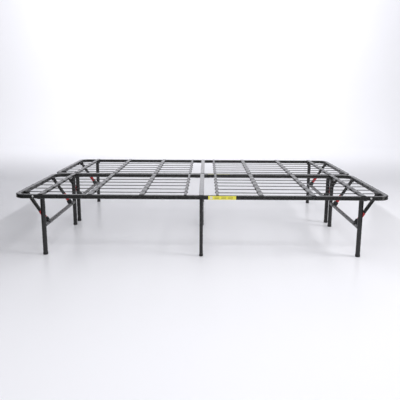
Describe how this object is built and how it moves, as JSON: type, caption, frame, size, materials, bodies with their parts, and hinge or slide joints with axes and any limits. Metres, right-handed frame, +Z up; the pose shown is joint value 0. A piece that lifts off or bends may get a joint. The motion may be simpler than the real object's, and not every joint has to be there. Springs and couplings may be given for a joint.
{
  "type": "folding metal bed frame",
  "caption": "Folding metal platform bed base: slatted steel decks hinged across the middle, on folding leg frames with braces.",
  "frame": {"origin": "on the floor under the middle of the bed", "axes": "+X towards the foot end, +Y from the left unit to the right unit, +Z up"},
  "size_m": [2.019, 1.5146, 0.35],
  "materials": {
    "frame_black": "semi-gloss black powder coat",
    "slat_black": "satin black powder coat",
    "wire_black": "satin black powder coat",
    "zinc_steel": "zinc plated",
    "foot_plastic": "matte black",
    "clip_plastic": "matte black",
    "red_plastic": "moulded red",
    "label_yellow": "printed film"
  },
  "bodies": {
    "centre_frame": {"left_centre_bar": "slat_black", "right_centre_bar": "slat_black", "hinge_plates": "frame_black", "hinge_pins": "zinc_steel", "joining_bolt": "zinc_steel"},
    "left_head_deck": {"left_head_rail": "frame_black", "left_head_slats": "slat_black", "left_head_wires": "wire_black", "left_head_leg_plates": "frame_black", "left_head_brace_lugs": "frame_black", "left_head_pins": "zinc_steel"},
    "left_head_leg_frame": {"left_head_legs": "frame_black", "left_head_crossbar": "frame_black", "left_head_feet": "foot_plastic", "left_head_clips": "clip_plastic"},
    "left_head_brace_pair": {"left_head_braces": "frame_black", "left_head_locks": "red_plastic"},
    "left_foot_deck": {"left_foot_rail": "frame_black", "left_foot_slats": "slat_black", "left_foot_wires": "wire_black", "left_foot_leg_plates": "frame_black", "left_foot_brace_lugs": "frame_black", "left_foot_pins": "zinc_steel", "left_label": "label_yellow"},
    "left_foot_leg_frame": {"left_foot_legs": "frame_black", "left_foot_crossbar": "frame_black", "left_foot_feet": "foot_plastic", "left_foot_clips": "clip_plastic"},
    "left_foot_brace_pair": {"left_foot_braces": "frame_black", "left_foot_locks": "red_plastic"},
    "left_centre_leg_frame": {"left_centre_legs": "frame_black", "left_centre_feet": "foot_plastic"},
    "right_head_deck": {"right_head_rail": "frame_black", "right_head_slats": "slat_black", "right_head_wires": "wire_black", "right_head_leg_plates": "frame_black", "right_head_brace_lugs": "frame_black", "right_head_pins": "zinc_steel"},
    "right_head_leg_frame": {"right_head_legs": "frame_black", "right_head_crossbar": "frame_black", "right_head_feet": "foot_plastic", "right_head_clips": "clip_plastic"},
    "right_head_brace_pair": {"right_head_braces": "frame_black", "right_head_locks": "red_plastic"},
    "right_foot_deck": {"right_foot_rail": "frame_black", "right_foot_slats": "slat_black", "right_foot_wires": "wire_black", "right_foot_leg_plates": "frame_black", "right_foot_brace_lugs": "frame_black", "right_foot_pins": "zinc_steel", "right_label": "label_yellow"},
    "right_foot_leg_frame": {"right_foot_legs": "frame_black", "right_foot_crossbar": "frame_black", "right_foot_feet": "foot_plastic", "right_foot_clips": "clip_plastic"},
    "right_foot_brace_pair": {"right_foot_braces": "frame_black", "right_foot_locks": "red_plastic"},
    "right_centre_leg_frame": {"right_centre_legs": "frame_black", "right_centre_feet": "foot_plastic"}
  },
  "joints": [
    {"name": "left_head_fold", "type": "hinge", "parent": "centre_frame", "child": "left_head_deck", "pos_m": [-0.025, -0.3805, 0.339], "axis": [0, 1, 0], "range_deg": [0, 90]},
    {"name": "left_head_leg_fold", "type": "hinge", "parent": "left_head_deck", "child": "left_head_leg_frame", "pos_m": [-0.864, -0.3805, 0.3235], "axis": [0, -1, 0], "range_deg": [0, 90]},
    {"name": "left_head_brace_swing", "type": "hinge", "parent": "left_head_deck", "child": "left_head_brace_pair", "pos_m": [-0.971, -0.3805, 0.328], "axis": [0, -1, 0], "range_deg": [0, 50]},
    {"name": "left_foot_fold", "type": "hinge", "parent": "centre_frame", "child": "left_foot_deck", "pos_m": [0.025, -0.3805, 0.339], "axis": [0, -1, 0], "range_deg": [0, 90]},
    {"name": "left_foot_leg_fold", "type": "hinge", "parent": "left_foot_deck", "child": "left_foot_leg_frame", "pos_m": [0.864, -0.3805, 0.3235], "axis": [0, 1, 0], "range_deg": [0, 90]},
    {"name": "left_foot_brace_swing", "type": "hinge", "parent": "left_foot_deck", "child": "left_foot_brace_pair", "pos_m": [0.971, -0.3805, 0.328], "axis": [0, 1, 0], "range_deg": [0, 50]},
    {"name": "left_centre_leg_fold", "type": "hinge", "parent": "centre_frame", "child": "left_centre_leg_frame", "pos_m": [0, -0.3805, 0.326], "axis": [0, -1, 0], "range_deg": [0, 90]},
    {"name": "right_head_fold", "type": "hinge", "parent": "centre_frame", "child": "right_head_deck", "pos_m": [-0.025, 0.3805, 0.339], "axis": [0, 1, 0], "range_deg": [0, 90]},
    {"name": "right_head_leg_fold", "type": "hinge", "parent": "right_head_deck", "child": "right_head_leg_frame", "pos_m": [-0.864, 0.3805, 0.3235], "axis": [0, -1, 0], "range_deg": [0, 90]},
    {"name": "right_head_brace_swing", "type": "hinge", "parent": "right_head_deck", "child": "right_head_brace_pair", "pos_m": [-0.971, 0.3805, 0.328], "axis": [0, -1, 0], "range_deg": [0, 50]},
    {"name": "right_foot_fold", "type": "hinge", "parent": "centre_frame", "child": "right_foot_deck", "pos_m": [0.025, 0.3805, 0.339], "axis": [0, -1, 0], "range_deg": [0, 90]},
    {"name": "right_foot_leg_fold", "type": "hinge", "parent": "right_foot_deck", "child": "right_foot_leg_frame", "pos_m": [0.864, 0.3805, 0.3235], "axis": [0, 1, 0], "range_deg": [0, 90]},
    {"name": "right_foot_brace_swing", "type": "hinge", "parent": "right_foot_deck", "child": "right_foot_brace_pair", "pos_m": [0.971, 0.3805, 0.328], "axis": [0, 1, 0], "range_deg": [0, 50]},
    {"name": "right_centre_leg_fold", "type": "hinge", "parent": "centre_frame", "child": "right_centre_leg_frame", "pos_m": [0, 0.3805, 0.326], "axis": [0, -1, 0], "range_deg": [0, 90]}
  ],
  "couplings": [
    {"joint": "left_head_brace_swing", "follows": "left_head_leg_fold", "ratio": 0.5555},
    {"joint": "left_foot_brace_swing", "follows": "left_foot_leg_fold", "ratio": 0.5555},
    {"joint": "right_head_brace_swing", "follows": "right_head_leg_fold", "ratio": 0.5555},
    {"joint": "right_foot_brace_swing", "follows": "right_foot_leg_fold", "ratio": 0.5555}
  ]
}
